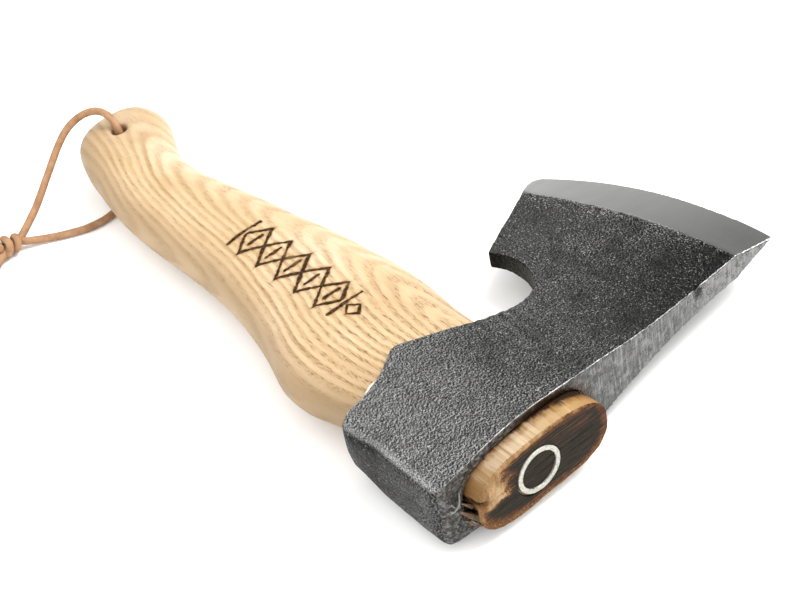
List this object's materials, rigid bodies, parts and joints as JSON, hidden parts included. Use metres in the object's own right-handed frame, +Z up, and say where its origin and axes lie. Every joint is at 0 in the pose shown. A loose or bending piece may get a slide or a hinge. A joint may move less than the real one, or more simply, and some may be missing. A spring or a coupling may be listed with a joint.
{
  "type": "carving hatchet",
  "caption": "Small bearded carving hatchet with a forged steel head, a flared ash handle held by a ring wedge and a kerf wedge, and a leather wrist lanyard",
  "frame": {"origin": "on the floor, under the middle of the box round the head and the handle, with the hatchet lying on its side", "axes": "+X along the handle from the butt to the tenon's end, +Y from the poll to the cutting edge, +Z up through the cheeks"},
  "size_m": [0.2583, 0.1888, 0.0363],
  "materials": {
    "forged_steel": "dark forge scale, hammered, with satin ground bevels",
    "oiled_ash": "oiled ash, open grain, charred tenon end",
    "ring_steel": "satin",
    "wedge_wood": "charred hardwood",
    "tan_leather": "matte round lace"
  },
  "bodies": {
    "hatchet": {"axe_head": "forged_steel", "handle": "oiled_ash", "ring_wedge": "ring_steel", "kerf_wedge": "wedge_wood"},
    "lanyard": {"lanyard_cord": "tan_leather", "lanyard_knot": "tan_leather", "lanyard_tail_a": "tan_leather", "lanyard_tail_b": "tan_leather"}
  },
  "joints": [
    {"name": "lanyard_swing", "type": "hinge", "parent": "hatchet", "child": "lanyard", "pos_m": [-0.109, -0.04075, 0.017], "axis": [0, 0, 1], "range_deg": [-75, 45]}
  ]
}
